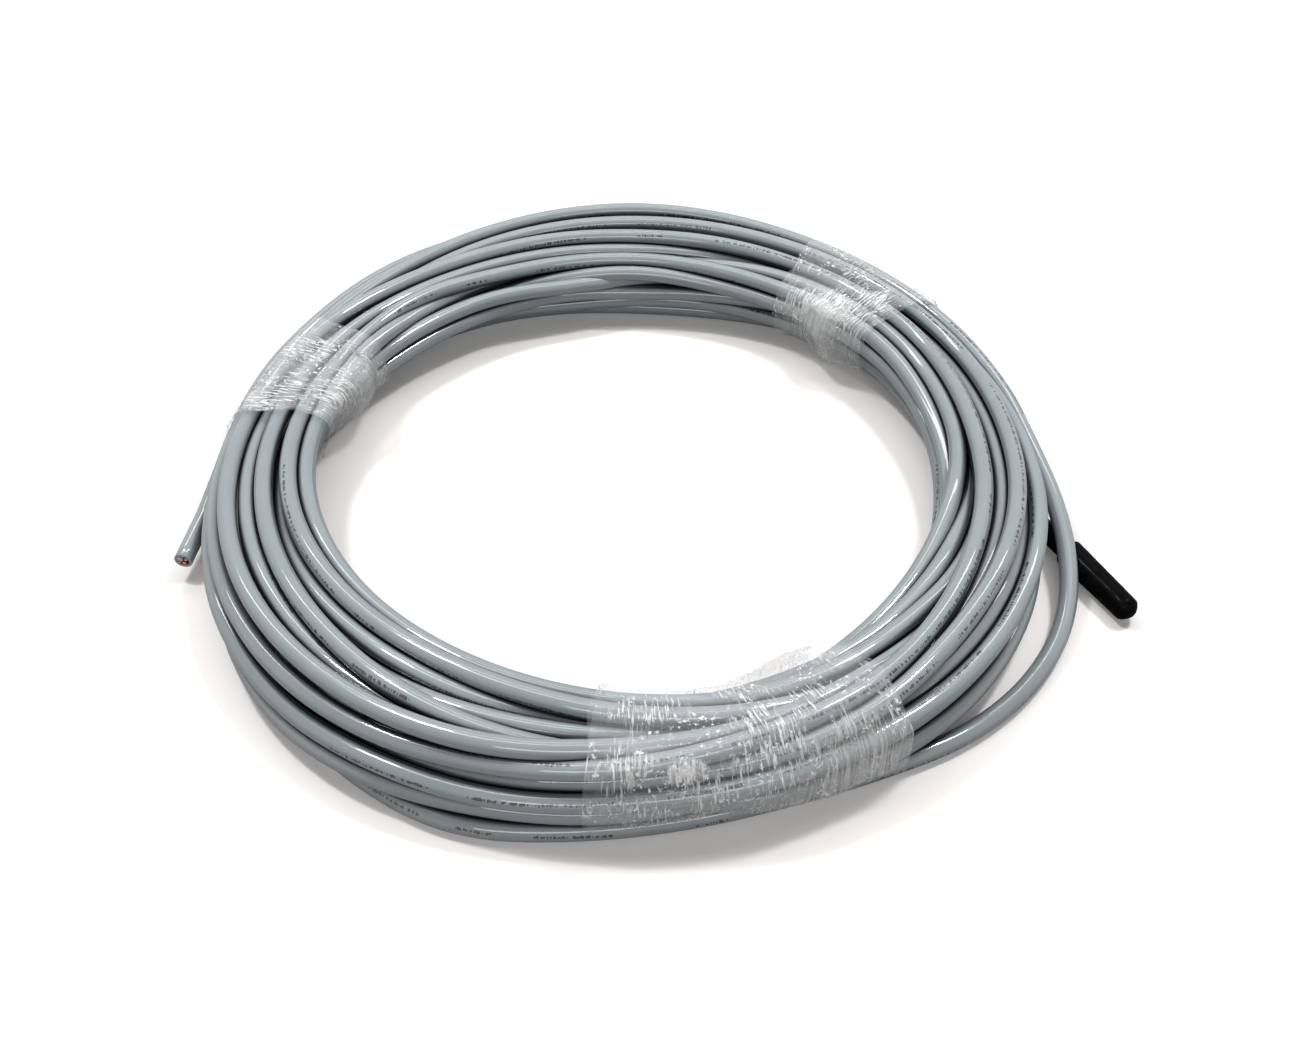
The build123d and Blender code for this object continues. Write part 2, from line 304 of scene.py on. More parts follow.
# Cap mesh. Each end is given as (distance from the end, how much smaller the radius is).
CAP_SIDES = 48
CAP_STEPS = 24
CAP_BORE_DEPTH = 0.020
CAP_BORE_ROOM = 0.00012
CAP_MOUTH_EDGE = ((0.0, 0.0009), (0.0003, 0.0004), (0.0009, 0.0))
CAP_TAPER_END = 0.0026  # from the tip to where the taper ends
CAP_TIP_EDGE = ((0.0019, 0.0004), (0.0009, 0.0013), (0.0002, 0.0022), (0.0, 0.0031))
CAP_WRINKLE = 0.00006
CAP_TIP_WRINKLE = 0.00016
CAP_TIP_FROM = 0.75  # share of the length from which the tip's wrinkles grow

# Sleeve mesh
SLEEVE_SIDES = 40
SLEEVE_ROOM = 0.00002
SLEEVE_WRINKLE = 0.00006

# Black of the cap and the sleeve
BLACK_DARK = (0.0015, 0.0015, 0.0018, 1)
BLACK_LIGHT = (0.004, 0.004, 0.0045, 1)

# Copper strands
STRANDS = 7
STRAND_R = 0.000178
STRAND_SPACING = 2.03 * STRAND_R
STRAND_SIDES = 8
STRAND_STEPS = 20
STRAND_TWIST = 0.5  # radians a step

# Finishes of the cut end: darker colour, lighter colour, roughness, metallic and the scale of the grain
CUT_END_FINISHES = {
    "shield_foil": ((0.55, 0.56, 0.58, 1), (0.85, 0.86, 0.88, 1), 0.28, 0.9, 2500),
    "core_red": ((0.30, 0.012, 0.02, 1), (0.42, 0.02, 0.03, 1), 0.35, 0.0, 1500),
    "core_black": ((0.01, 0.01, 0.011, 1), (0.025, 0.025, 0.027, 1), 0.4, 0.0, 1500),
    "core_white": ((0.62, 0.57, 0.55, 1), (0.78, 0.74, 0.72, 1), 0.4, 0.0, 1500),
    "drain_wire": ((0.55, 0.55, 0.55, 1), (0.8, 0.8, 0.8, 1), 0.25, 1.0, 3000),
}
COPPER_FINISH = ((0.62, 0.27, 0.2, 1), (0.9, 0.5, 0.42, 1), 0.3, 1.0, 2500)


# Places and lines
def point_at(azimuth, radius, height):
    """The point at an azimuth in degrees, a radius and a height."""
    angle = math.radians(azimuth)
    return Vector((radius * math.cos(angle), radius * math.sin(angle), height))


def beside_coil(azimuth, beyond, height):
    """The point that one entry of a route stands for."""
    return point_at(azimuth, COIL_OUTER_R + beyond / 1000, height / 1000)


def smooth_line(points):
    """The points along the NURBS spline that has these control points."""
    curve = bpy.data.curves.new("cable_line", "CURVE")
    curve.dimensions = "3D"
    spline = curve.splines.new("NURBS")
    spline.points.add(len(points) - 1)
    for place, point in zip(spline.points, points):
        place.co = (*point, 1)
    spline.order_u = 3
    spline.use_endpoint_u = True
    spline.resolution_u = LINE_RESOLUTION
    holder = bpy.data.objects.new("cable_line", curve)
    line = bpy.data.meshes.new_from_object(holder)
    found = [vertex.co.copy() for vertex in line.vertices]
    bpy.data.objects.remove(holder)
    bpy.data.curves.remove(curve)
    bpy.data.meshes.remove(line)
    return found


def frames_along(line):
    """For each point of a line: its length from the start, its side vector and its up vector."""
    found = []
    travelled = 0.0
    for index, point in enumerate(line):
        before = line[max(index - 1, 0)]
        after = line[min(index + 1, len(line) - 1)]
        if index:
            travelled += (point - line[index - 1]).length
        along = (after - before).normalized()
        side = along.cross(Vector((0, 0, 1))).normalized()
        found.append((travelled, side, side.cross(along).normalized()))
    return found


def ring_at(centre, side, up, radius, sides):
    """A ring of points round a line, starting at its underside."""
    angles = [2 * math.pi * place / sides - math.pi / 2 for place in range(sides)]
    return [centre + side * (radius * math.cos(angle)) + up * (radius * math.sin(angle)) for angle in angles]


# Meshes
def loft(bm, rings, close_start=False, close_end=False, lengths=None, looped=False):
    """Joins rings of points with faces. With lengths, a UV map holds them and the share of the way round."""
    sides = len(rings[0])
    rows = [[bm.verts.new(point) for point in ring] for ring in rings]
    if looped:
        rows.append(rows[0])
    layers = bm.loops.layers.uv
    layer = layers.verify() if layers else layers.new("UVMap")
    for row in range(len(rows) - 1):
        for place in range(sides):
            beside = (place + 1) % sides
            corners = (rows[row][place], rows[row][beside], rows[row + 1][beside], rows[row + 1][place])
            face = bm.faces.new(corners)
            if lengths:
                spots = ((row, place), (row, place + 1), (row + 1, place + 1), (row + 1, place))
                for loop, (at, round_at) in zip(face.loops, spots):
                    loop[layer].uv = (lengths[at], round_at / sides)
    if close_start:
        bm.faces.new(rows[0][::-1])
    if close_end:
        bm.faces.new(rows[-1])


def new_piece(name, material, bm):
    """A smooth mesh object from a bmesh, riding on the part's one body."""
    data = bpy.data.meshes.new(name)
    bm.to_mesh(data)
    bm.free()
    for polygon in data.polygons:
        polygon.use_smooth = True
    data.materials.append(material)
    piece = bpy.data.objects.new(name, data)
    bpy.context.scene.collection.objects.link(piece)
    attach(piece, "root")
    return piece


def lofted_piece(name, material, tubes, **ends):
    """A piece of one or more lofts, with its faces turned outward."""
    bm = bmesh.new()
    for rings in tubes:
        loft(bm, rings, **ends)
    bmesh.ops.recalc_face_normals(bm, faces=bm.faces)
    return new_piece(name, material, bm)


# Camera
def make_camera():
    """The camera, at the photograph's angle."""
    data = bpy.data.cameras.new("camera")
    data.lens = CAMERA_LENS
    data.sensor_width = CAMERA_SENSOR
    camera = bpy.data.objects.new("camera", data)
    camera.location = CAMERA_AT
    camera.rotation_euler = (math.radians(CAMERA_TILT), 0, 0)
    bpy.context.scene.collection.objects.link(camera)
    bpy.context.scene.camera = camera


# Cable
def in_loose_stretch(running):
    """Whether a running azimuth is where the loose turn lies clear of the bundle."""
    return (running > LOOSE_START) & (running < LOOSE_END)


def guide_places():
    """Every guide place and loose turn's point, as (running azimuth, radius, height) in millimetres."""
    rows = []
    for turn, places in enumerate(TURNS):
        rows += [(360 * turn + azimuth, radius, height) for azimuth, radius, height in places]
    for azimuth, beyond, height in LOOSE_ROUTE:
        rows.append((LOOSE_ZERO + azimuth, 1000 * COIL_OUTER_R + beyond, height))
    return np.array(sorted(rows))


def push_apart(place):
    """How far each point of the turns moves away from the turns that it lies too near to."""
    spacing = 1000 * CABLE_D + TURN_ROOM
    per_turn = round(360 / AZIMUTH_STEP)
    push = np.zeros_like(place)
    for turns_apart in range(1, len(TURNS)):
        gap = per_turn * turns_apart
        apart = place[gap:] - place[:-gap]
        distance = np.hypot(apart[:, 0], apart[:, 1])[:, None]
        shove = PUSH * np.clip(spacing - distance, 0, None) * apart / np.maximum(distance, 0.001)
        push[gap:] += shove
        push[:-gap] -= shove
    return np.clip(push, -LONGEST_PUSH, LONGEST_PUSH)


def settle_turns():
    """The turns, lying beside and on each other: running azimuths, and the (radius, height) at each."""
    guides = guide_places()
    running = np.arange(FIRST_AZIMUTH, LAST_AZIMUTH + 0.1, AZIMUTH_STEP)
    target = np.stack([np.interp(running, guides[:, 0], guides[:, column]) for column in (1, 2)], axis=1)
    free = np.where(in_loose_stretch(running), 0.0, 1.0)[:, None]
    place = target.copy()
    for settle_round in range(SETTLE_ROUNDS):
        if settle_round < SETTLE_ROUNDS - LAST_ROUNDS:
            bend = np.zeros_like(place)
            bend[1:-1] = (place[:-2] + place[2:]) / 2 - place[1:-1]
            place += free * (STRAIGHTEN * bend + FOLLOW * (target - place))
        for _ in range(PUSHES):
            place += free * push_apart(place)
            place[:, 1] = np.maximum(place[:, 1], 1000 * CABLE_R)
    return running, place / 1000


def cap_axis():
    """The cap's mouth, and the direction in which the cap points away from the coil."""
    mouth = beside_coil(*CAP_MOUTH)
    return mouth, (mouth - beside_coil(*CAP_BEND)).normalized()


def route_points(running, place):
    """The cable's control points, from the cut face through every turn to its end in the cap."""
    stations = []
    for azimuth, (radius, height) in zip(running[::2], place[::2]):
        if not in_loose_stretch(azimuth):
            stations.append((azimuth, radius, height))
    for azimuth, beyond, height in LOOSE_ROUTE:
        if in_loose_stretch(LOOSE_ZERO + azimuth):
            stations.append((LOOSE_ZERO + azimuth, COIL_OUTER_R + beyond / 1000, height / 1000))
    # The spline runs inside its control points, so they stand this much further out
    widen = 1 / math.cos(math.radians(AZIMUTH_STEP))
    turns = [point_at(azimuth, radius * widen, height) for azimuth, radius, height in sorted(stations)]
    cut_face = beside_coil(*CUT_FACE)
    cut_corner = beside_coil(*CUT_CORNER)
    cut_start = cut_face + (cut_corner - cut_face).normalized() * BARE_END
    cap_bend = beside_coil(*CAP_BEND)
    cap_mouth, outward = cap_axis()
    cap_floor = cap_mouth + outward * (CAP_LENGTH - CAP_END_WALL)
    cap_end = [cap_bend, cap_bend + outward * CAP_STRAIGHT, cap_floor]
    return [cut_face, cut_start, cut_corner] + turns[::-1] + cap_end


def make_cable(material, line):
    """The whole cable as one tube: hollow where it is cut, closed inside the cap."""
    frames = frames_along(line)
    inner_r = CABLE_R - JACKET_WALL
    inward = (line[1] - line[0]).normalized()
    _, side, up = frames[0]
    rim_r = CABLE_R - CUT_RIM_ACROSS
    cut_edge = ((CUT_DEPTH, inner_r), (0.0, inner_r), (0.0, rim_r), (CUT_RIM_ALONG, CABLE_R))
    rings = [ring_at(line[0] + inward * depth, side, up, radius, CABLE_SIDES) for depth, radius in cut_edge]
    lengths = [depth for depth, _ in cut_edge]
    for point, (travelled, side, up) in zip(line[1:], frames[1:]):
        rings.append(ring_at(point, side, up, CABLE_R, CABLE_SIDES))
        lengths.append(travelled)
    cable = lofted_piece("cable", material, [rings], close_end=True, lengths=lengths)
    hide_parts("cable_coil", "loose_turn", "capped_tail", "cut_tail", "jacket_end")
    return cable


# Shader nodes
def new_material(name):
    """A material, its node tree and its shader."""
    material = bpy.data.materials.new(name)
    material.use_nodes = True
    return material, material.node_tree, material.node_tree.nodes["Principled BSDF"]


def set_inputs(tree, node, values):
    """Sets each input to its value, or links it where the value is another node's output."""
    for name, value in values.items():
        if isinstance(value, bpy.types.NodeSocket):
            tree.links.new(value, node.inputs[name])
        else:
            node.inputs[name].default_value = value


def new_node(tree, kind, values):
    node = tree.nodes.new(kind)
    set_inputs(tree, node, values)
    return node


def calculate(tree, operation, *values):
    """The output of a Math node."""
    node = tree.nodes.new("ShaderNodeMath")
    node.operation = operation
    set_inputs(tree, node, dict(enumerate(values)))
    return node.outputs[0]


def add(tree, first, second):
    return calculate(tree, "ADD", first, second)


def multiply(tree, first, second):
    return calculate(tree, "MULTIPLY", first, second)


def is_below(tree, first, second):
    return calculate(tree, "LESS_THAN", first, second)


def noise_at(tree, place, scale, detail=2, roughness=0.5):
    values = {"Scale": scale, "Detail": detail, "Roughness": roughness, "Vector": place}
    return new_node(tree, "ShaderNodeTexNoise", values).outputs["Fac"]


def object_place(tree):
    return tree.nodes.new("ShaderNodeTexCoord").outputs["Object"]


def uv_place(tree):
    node = tree.nodes.new("ShaderNodeUVMap")
    node.uv_map = "UVMap"
    return node.outputs["UV"]


def scaled(tree, place, scale):
    """A place with each of its coordinates times its own scale."""
    return new_node(tree, "ShaderNodeMapping", {"Scale": scale, "Vector": place}).outputs["Vector"]


def attribute(tree, name):
    node = tree.nodes.new("ShaderNodeAttribute")
    node.attribute_name = name
    return node.outputs["Fac"]


def ramp(tree, value, start, end):
    """Fades from one colour to another between two values, each given with its colour."""
    node = new_node(tree, "ShaderNodeValToRGB", {"Fac": value})
    for element, (position, colour) in zip(node.color_ramp.elements, (start, end)):
        element.position = position
        element.color = colour
    return node.outputs["Color"]


def fade_in(tree, value, start, end, least=0.0):
    """Fades from the least amount to 1 between two values."""
    return ramp(tree, value, (start, (least, least, least, 1)), (end, (1, 1, 1, 1)))


def map_range(tree, value, lowest, highest, start=0.0, end=1.0):
    """Goes from the lowest to the highest result while the value goes from start to end."""
    values = {"Value": value, "From Min": start, "From Max": end, "To Min": lowest, "To Max": highest}
    return new_node(tree, "ShaderNodeMapRange", values).outputs[0]


def mix_colours(tree, share, first, second):
    """The first colour where the share is 0, and the second where it is 1."""
    node = tree.nodes.new("ShaderNodeMix")
    node.data_type = "RGBA"
    set_inputs(tree, node, {"Factor": share, 6: first, 7: second})
    return node.outputs[2]


def bump_normal(tree, height, strength, distance):
    values = {"Strength": strength, "Distance": distance, "Height": height}
    return new_node(tree, "ShaderNodeBump", values).outputs["Normal"]


# Jacket material
def random_steps(tree, along, step):
    """A new random number and colour for each step along the cable."""
    node = tree.nodes.new("ShaderNodeTexWhiteNoise")
    node.noise_dimensions = "1D"
    set_inputs(tree, node, {"W": calculate(tree, "FLOOR", multiply(tree, along, 1 / step))})
    return node.outputs["Value"], node.outputs["Color"]


def print_line(tree, along):
    """Where the print is round the cable: a slow drift to either side of its top."""
    node = tree.nodes.new("ShaderNodeTexNoise")
    node.noise_dimensions = "1D"
    set_inputs(tree, node, {"Scale": 1.1, "Detail": 0, "W": add(tree, along, PRINT_START)})
    drift = multiply(tree, calculate(tree, "SUBTRACT", node.outputs["Fac"], 0.5), PRINT_DRIFT)
    return add(tree, drift, 0.5)


def print_marks(tree):
    """1 where the jacket is printed: groups of plain ticks, uneven in height, along a drifting line."""
    split = new_node(tree, "ShaderNodeSeparateXYZ", {0: uv_place(tree)})
    along, round_at = split.outputs["X"], split.outputs["Y"]
    chance, colour = random_steps(tree, along, PRINT_TICK)
    parts = new_node(tree, "ShaderNodeSeparateColor", {"Color": colour})
    reach = multiply(tree, add(tree, parts.outputs[1], 0.6), PRINT_HALF_HEIGHT / 1.6)
    shift = multiply(tree, calculate(tree, "SUBTRACT", parts.outputs[2], 0.5), PRINT_HALF_HEIGHT * 0.5)
    off_line = calculate(tree, "SUBTRACT", round_at, print_line(tree, along))
    off_tick = calculate(tree, "ABSOLUTE", add(tree, off_line, shift))
    ticked = multiply(tree, is_below(tree, off_tick, reach), is_below(tree, chance, PRINT_TICKED))
    group_chance, _ = random_steps(tree, along, PRINT_GROUP)
    return multiply(tree, ticked, is_below(tree, group_chance, PRINT_GROUPED))


def paint_groove_shade(tree, colour):
    """Painted shade: the colour, darkened towards the groove colour where the turns lie close together, as far
    as ambient occlusion finds them shut in.
    """
    grooves = tree.nodes.new("ShaderNodeAmbientOcclusion")
    grooves.samples = 8
    grooves.only_local = True
    set_inputs(tree, grooves, {"Distance": GROOVE_REACH, "Color": colour})
    openness = map_range(tree, grooves.outputs["AO"], 0.0, 1.0, 0.26, 0.80)
    return mix_colours(tree, calculate(tree, "POWER", openness, 1.5), GROOVE_PAINTED_SHADE, colour)


def jacket_material():
    """Grey PVC, faintly uneven, with a row of plain printed ticks and painted shade in the grooves between the
    turns.
    """
    material, tree, shader = new_material("jacket")
    place = object_place(tree)
    grey = ramp(tree, noise_at(tree, place, 60, 3, 0.6), (0.25, JACKET_DARK), (0.75, JACKET_LIGHT))
    colour = mix_colours(tree, print_marks(tree), grey, PRINT_INK)
    set_inputs(tree, shader, {
        # the base colour carries painted shade in the grooves
        "Base Color": paint_groove_shade(tree, colour),
        "Roughness": map_range(tree, noise_at(tree, place, 240, 3, 0.6), 0.26, 0.38),
        "Specular IOR Level": 0.15,
        "Coat Weight": 1.0,
        "Coat Roughness": 0.05,
        "Coat IOR": 1.62,
        "Normal": bump_normal(tree, noise_at(tree, place, 500), 0.06, 0.0003),
    })
    return material


# Floor and light
def make_floor():
    """A white table top that keeps the coil's shadow and throws only a little light back up under it."""
    bm = bmesh.new()
    bmesh.ops.create_grid(bm, x_segments=2, y_segments=2, size=FLOOR_HALF)
    data = bpy.data.meshes.new("floor")
    bm.to_mesh(data)
    bm.free()
    data.materials.append(floor_material())
    floor = bpy.data.objects.new("floor", data)
    bpy.context.scene.collection.objects.link(floor)


def floor_material():
    """White to the camera, and the brighter the further from the coil, but dull to all other rays."""
    material, tree, shader = new_material("floor")
    seen = tree.nodes.new("ShaderNodeLightPath").outputs["Is Camera Ray"]
    away = tree.nodes.new("ShaderNodeVectorMath")
    away.operation = "LENGTH"
    set_inputs(tree, away, {0: object_place(tree)})
    glow = map_range(tree, away.outputs["Value"], GLOW_NEAR, GLOW_FAR, GLOW_FROM, GLOW_TO)
    set_inputs(tree, shader, {
        "Base Color": mix_colours(tree, seen, FLOOR_BOUNCE, FLOOR_COLOUR),
        "Roughness": 0.35,
        "Specular IOR Level": 0.3,
        "Emission Color": GLOW_COLOUR,
        "Emission Strength": multiply(tree, seen, glow),
    })
    return material


def make_softbox(name, place, look_at, size, power):
    """An area lamp with its longer side along X, turned to face a point."""
    data = bpy.data.lights.new(name, "AREA")
    data.shape = "RECTANGLE"
    data.size, data.size_y = size
    data.energy = power
    lamp = bpy.data.objects.new(name, data)
    lamp.location = place
    away = (Vector(place) - Vector(look_at)).normalized()
    across = Vector((1, 0, 0))
    lamp.rotation_euler = Matrix((across, away.cross(across), away)).transposed().to_euler()
    bpy.context.scene.collection.objects.link(lamp)


def make_light():
    """A dim room that shows white in reflections.

    The long softboxes draw thin highlights along the turns, and the two small ones at the sides give short
    highlights and the shadow's two edges.
    """
    world = bpy.data.worlds.new("world")
    bpy.context.scene.world = world
    world.use_nodes = True
    tree = world.node_tree
    path = tree.nodes.new("ShaderNodeLightPath").outputs
    shown = calculate(tree, "MAXIMUM", path["Is Camera Ray"], path["Is Glossy Ray"])
    shown = calculate(tree, "MAXIMUM", shown, path["Is Transmission Ray"])
    strength = map_range(tree, shown, ROOM_LEVEL, 1.0)
    set_inputs(tree, tree.nodes["Background"], {"Color": (1.0, 1.0, 1.0, 1), "Strength": strength})
    for name, softbox in SOFTBOXES.items():
        make_softbox(name, *softbox)
    bpy.context.scene.view_settings.view_transform = "Standard"


# Film bands
def turns_crossing(azimuth, running, place):
    """Where the bundled turns cross the upright section at an azimuth, as (radius, height) rows."""
    found = []
    for turn in range(len(TURNS)):
        at = 360 * turn + azimuth % 360
        wrapped = FIRST_AZIMUTH <= at <= LAST_AZIMUTH - FREE_TURN_END
        if wrapped and not in_loose_stretch(at):
            found.append([np.interp(at, running, place[:, column]) for column in (0, 1)])
    return np.array(found)


def taut_outline(centres):
    """The outline of film pulled tight round the turns: its points, their outward normals, and its girth."""
    angles = np.linspace(-math.pi / 2, 1.5 * math.pi, 361)
    normals = np.stack([np.cos(angles), np.sin(angles)], axis=1)
    furthest = np.argmax(centres @ normals.T, axis=0)
    outline = centres[furthest] + normals * (CABLE_R + OUTLINE_OFF)
    outline[:, 1] = np.maximum(outline[:, 1], OUTLINE_LOWEST)
    run = np.concatenate([[0], np.cumsum(np.hypot(*np.diff(outline, axis=0).T))])
    share = np.linspace(0, run[-1], FILM_ROUND, endpoint=False)
    points = np.stack([np.interp(share, run, outline[:, column]) for column in (0, 1)], axis=1)
    facing = np.stack([np.interp(share, run, normals[:, column]) for column in (0, 1)], axis=1)
    return points, facing / np.hypot(*facing.T)[:, None], run[-1]


def crease(across, around, seed):
    """Height of the film's creases, which run round the bundle and wander a little."""
    drift = CREASE_DRIFT * noise.noise(Vector((around * 45, across * 30, seed)))
    fine = abs(noise.noise(Vector(((across + drift) * 420, around * 38, seed + 5))))
    broad = abs(noise.noise(Vector(((across + drift) * 120, around * 16, seed + 9))))
    return FINE_CREASE * (0.5 - fine) + BROAD_CREASE * (0.4 - broad)


def strength_at(spots, share, round_share):
    """How strongly the spots listed for a band mark one place on it."""
    strength = 0.0
    for across, around, across_spread, around_spread, how_much in spots:
        off = ((share - across) / across_spread) ** 2 + ((round_share - around) / around_spread) ** 2
        strength = max(strength, how_much * math.exp(-off))
    return strength


def slack_amount(share, slack_at, facing):
    """How slack the film is at a place: most where it faces the eye, and where the band is slackest."""
    inward = max(0.0, -facing[0] - SLACK_FACING) / (1 - SLACK_FACING)
    return inward * math.exp(-(((share - slack_at) / SLACK_SPREAD) ** 2))


def side_share(share):
    """How far into a band's curled side a place is, from 0 to 1."""
    return max(0.0, abs(share) - SIDE_FROM) / (0.5 - SIDE_FROM)


def film_lift(share, across, around, seed):
    """How far the film's creases and its curled sides lift it off the outline."""
    curl = SIDE_LIFT * side_share(share) * (1 + noise.noise(Vector((around * 200, share * 4, seed))))
    return FILM_LIFT + crease(across, around, seed) + curl


def layer_lift(row, rows):
    """How far the film under it lifts a row, and its own curl if it is in the free end."""
    free = max(0, row - rows + FREE_ROWS)
    return FILM_LAYER * row / FILM_ROUND + FREE_LIFT * free**FREE_CURL


def side_shift(share, around, seed):
    """How far the film's ragged side runs out, in degrees round the coil."""
    ragged = noise.noise(Vector((around * 60, 3.1, seed)))
    return math.copysign(SIDE_RAGGED, share) * side_share(share) * ragged


def film_outlines(width, middle, columns, running, place):
    """For each column of a band's mesh: its share across the band, its azimuth and its taut outline."""
    arc = math.degrees(width / COIL_MID_R)
    outlines = []
    for column in range(columns + 1):
        share = column / columns - 0.5
        azimuth = middle + arc * share
        outlines.append((share, azimuth, *taut_outline(turns_crossing(azimuth, running, place))))
    return outlines


def film_faces(bm, grid, layer, width):
    """Joins the points of a band, with the UV map in metres across it and round it."""
    columns = len(grid[0]) - 1
    for row in range(len(grid) - 1):
        for column in range(columns):
            spots = ((row, column), (row, column + 1), (row + 1, column + 1), (row + 1, column))
            face = bm.faces.new([grid[at_row][at_column] for at_row, at_column in spots])
            for loop, (at_row, at_column) in zip(face.loops, spots):
                loop[layer].uv = (width * at_column / columns, UV_GIRTH * at_row / FILM_ROUND)


def make_film(name, material, running, place, seed):
    """One band: thin film wound more than once round the bundle, creased, with its free end lifting."""
    width, middle, turns, slack, slack_at = FILM_BANDS[name]
    columns = round(width / FILM_CELL)
    rows = round(turns * FILM_ROUND)
    outlines = film_outlines(width, middle, columns, running, place)
    bm = bmesh.new()
    uv_layer = bm.loops.layers.uv.new("UVMap")
    slack_layer = bm.verts.layers.float.new("slack")
    crumpled_and_glare_layer = bm.verts.layers.float.new("crumpled_and_glare")
    scratched_layer = bm.verts.layers.float.new("scratched")
    grid = []
    for row in range(rows + 1):
        line = []
        index = row % FILM_ROUND
        for share, azimuth, points, facing, girth in outlines:
            around = girth * row / FILM_ROUND
            slackness = slack_amount(share, slack_at, facing[index])
            lift = layer_lift(row, rows) + film_lift(share, width * share, around, seed) + slack * slackness
            radius, height = points[index] + facing[index] * lift
            turned = azimuth + side_shift(share, around, seed)
            vertex = bm.verts.new(point_at(turned, radius, max(FILM_LOWEST, height)))
            vertex[slack_layer] = slackness
            # crumpled spots: real crumples with painted glare
            vertex[crumpled_and_glare_layer] = strength_at(CRUMPLED_AND_GLARE_AT[name], share, index / FILM_ROUND)
            vertex[scratched_layer] = strength_at(SCRATCHED_AT[name], share, index / FILM_ROUND)
            line.append(vertex)
        grid.append(line)
    film_faces(bm, grid, uv_layer, width)
    film = new_piece(name.replace("band", "wrap"), material, bm)
    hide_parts(name)
    girth = sum(outline[-1] for outline in outlines) / len(outlines)


def film_creases_and_highlights(tree, place, crumpled_and_glare):
    """Fine creases round the bundle, gathered in patches, and more of them in the crumpled spots; the white
    painted along them is partly the creases' own whitening and partly painted highlights.
    """
    grain = noise_at(tree, scaled(tree, uv_place(tree), CREASE_MARKS), 1.0, 3, 0.6)
    creases_and_highlights = fade_in(tree, add(tree, grain, multiply(tree, crumpled_and_glare, 0.05)), 0.55, 0.63)
    patches = add(tree, noise_at(tree, place, 75), multiply(tree, crumpled_and_glare, 0.2))
    return multiply(tree, creases_and_highlights, fade_in(tree, patches, 0.46, 0.62, least=0.03))


def film_painted_glints(tree, place, crumple, crumpled_and_glare):
    """Painted glints: small white highlights painted on the crumples, in patches of their own."""
    patches = add(tree, noise_at(tree, place, 110), multiply(tree, crumpled_and_glare, 0.25))
    return multiply(tree, fade_in(tree, crumple, 0.59, 0.65), fade_in(tree, patches, 0.47, 0.6))


def film_scratches(tree):
    """Straight scratches over a haze, where the film is scratched."""
    grain = noise_at(tree, scaled(tree, uv_place(tree), SCRATCH_MARKS), 1.0)
    scratches = add(tree, multiply(tree, fade_in(tree, grain, 0.50, 0.60), 0.40), 0.13)
    return multiply(tree, scratches, attribute(tree, "scratched"))


def film_material():
    """Clear film: nearly see-through where it is flat, whiter where it is creased, scratched or slack, with
    painted highlights on the creases and crumples, painted glare in the crumpled spots and a painted sheen
    where it is seen edge on.
    """
    material, tree, shader = new_material("film")
    place = object_place(tree)
    crumpled_and_glare = attribute(tree, "crumpled_and_glare")
    slack = attribute(tree, "slack")
    crumple = noise_at(tree, place, 700, 3, 0.6)
    # crease marks: partly the film's whitening, partly painted highlights
    creases_and_highlights = film_creases_and_highlights(tree, place, crumpled_and_glare)
    # painted glints join the crease marks
    marks = calculate(tree, "MAXIMUM", creases_and_highlights, film_painted_glints(tree, place, crumple, crumpled_and_glare))
    calm = calculate(tree, "SUBTRACT", 1.0, multiply(tree, slack, 0.7))
    # Painted sheen: the film is made whiter where it is seen edge on
    painted_edge_sheen = new_node(tree, "ShaderNodeLayerWeight", {"Blend": 0.25}).outputs["Facing"]
    cover = add(tree, film_scratches(tree), FILM_HAZE)
    marks = multiply(tree, marks, calm)
    # The white cover adds the crease marks with painted glints, the painted edge-on sheen, the slack film and
    # the painted glare of the crumpled spots
    for white, share in ((marks, 0.8), (painted_edge_sheen, 0.12), (slack, 0.12), (crumpled_and_glare, 0.1)):
        cover = add(tree, cover, multiply(tree, white, share))
    rise = multiply(tree, crumple, add(tree, multiply(tree, crumpled_and_glare, 1.5), 1.0))
    height = add(tree, rise, multiply(tree, creases_and_highlights, 0.5))
    set_inputs(tree, shader, {
        "Base Color": FILM_COLOUR,
        "Roughness": 0.2,
        "Alpha": cover,
        "Normal": bump_normal(tree, height, 0.6, 0.0004),
    })
    return material


# Cap and sleeve
def cap_profile():
    """The cap's section from the bottom of its bore to its tip, as (distance from the mouth, radius)."""
    outer_r, tip_r = CAP_D / 2, CAP_TIP_D / 2
    bore_r = CABLE_R + SLEEVE_WALL + CAP_BORE_ROOM
    profile = [(CAP_BORE_DEPTH, bore_r), (0.0, bore_r)]
    profile += [(along, outer_r - smaller) for along, smaller in CAP_MOUTH_EDGE]
    taper_start = CAP_MOUTH_EDGE[-1][0]
    taper_length = CAP_LENGTH - CAP_TAPER_END - taper_start
    for step in range(1, CAP_STEPS + 1):
        share = step / CAP_STEPS
        profile.append((taper_start + share * taper_length, outer_r + share * (tip_r - outer_r)))
    profile += [(CAP_LENGTH - before, tip_r - smaller) for before, smaller in CAP_TIP_EDGE]
    return profile


